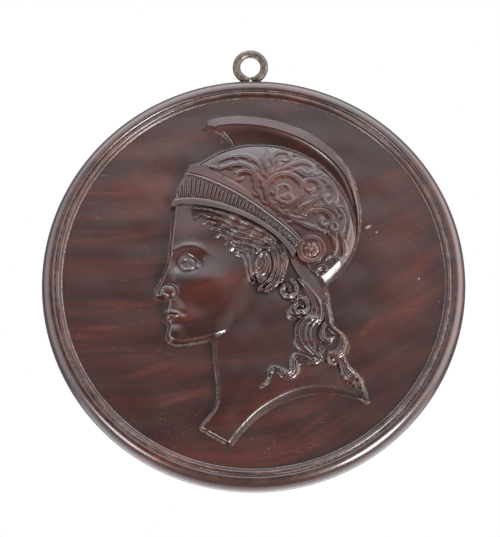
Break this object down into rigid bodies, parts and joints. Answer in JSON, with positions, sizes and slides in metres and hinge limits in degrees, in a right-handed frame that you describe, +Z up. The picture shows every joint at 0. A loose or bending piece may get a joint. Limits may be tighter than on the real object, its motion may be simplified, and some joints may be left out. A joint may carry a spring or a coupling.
{
  "type": "relief roundel",
  "caption": "Round carved wooden wall plaque with a moulded rim, a helmeted head in low relief and a wire hanging eye.",
  "frame": {"origin": "centre of the hanging eye's hole, halfway through the thickness of its wire", "axes": "+Z up the wall, -Y out of the wall toward the viewer, so the carved face looks along -Y"},
  "size_m": [0.2, 0.0171, 0.216],
  "materials": {
    "mahogany": "dark red-brown mahogany, waxed to a gloss, grey residue in the hollows",
    "eye_metal": "brass wire gone dark brown with age"
  },
  "bodies": {
    "root": {"roundel": "mahogany", "hanging_eye": "eye_metal"}
  },
  "joints": []
}
